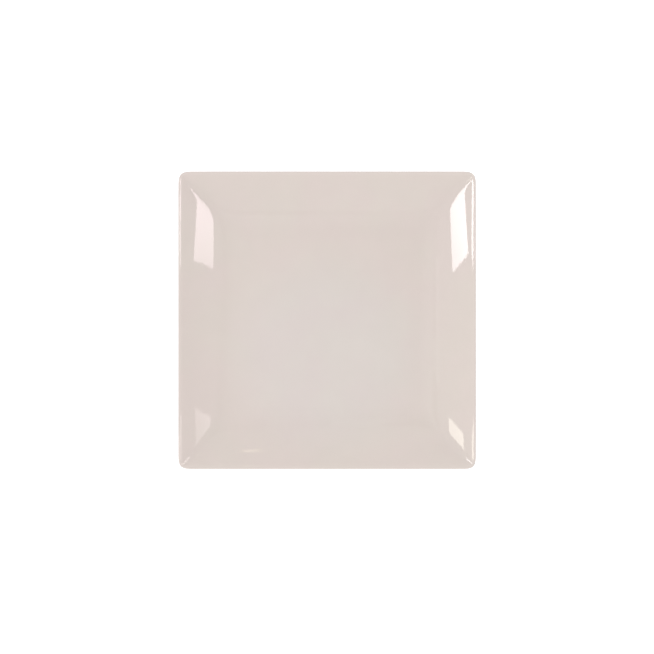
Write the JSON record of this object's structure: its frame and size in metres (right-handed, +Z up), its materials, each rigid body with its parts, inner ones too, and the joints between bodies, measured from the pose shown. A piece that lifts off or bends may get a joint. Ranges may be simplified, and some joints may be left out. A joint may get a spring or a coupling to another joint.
{
  "type": "square dinner plate",
  "caption": "Square dinner plate: a flat well, hollow-curved walls that meet on soft diagonal creases, a round lip, and a square foot ring it stands on; glazed but for the standing edge.",
  "frame": {"origin": "on the table under the middle of the plate, in the plane that the foot ring stands on", "axes": "+Z up, out of the well; +X and +Y along the sides"},
  "size_m": [0.26, 0.26, 0.0245],
  "materials": {
    "clay": "bare fired clay, matt and slightly gritty",
    "glaze": "glossy warm off-white glaze"
  },
  "bodies": {
    "root": {"clay_body": "clay", "face_glaze": "glaze", "foot_well_glaze": "glaze"}
  },
  "joints": []
}
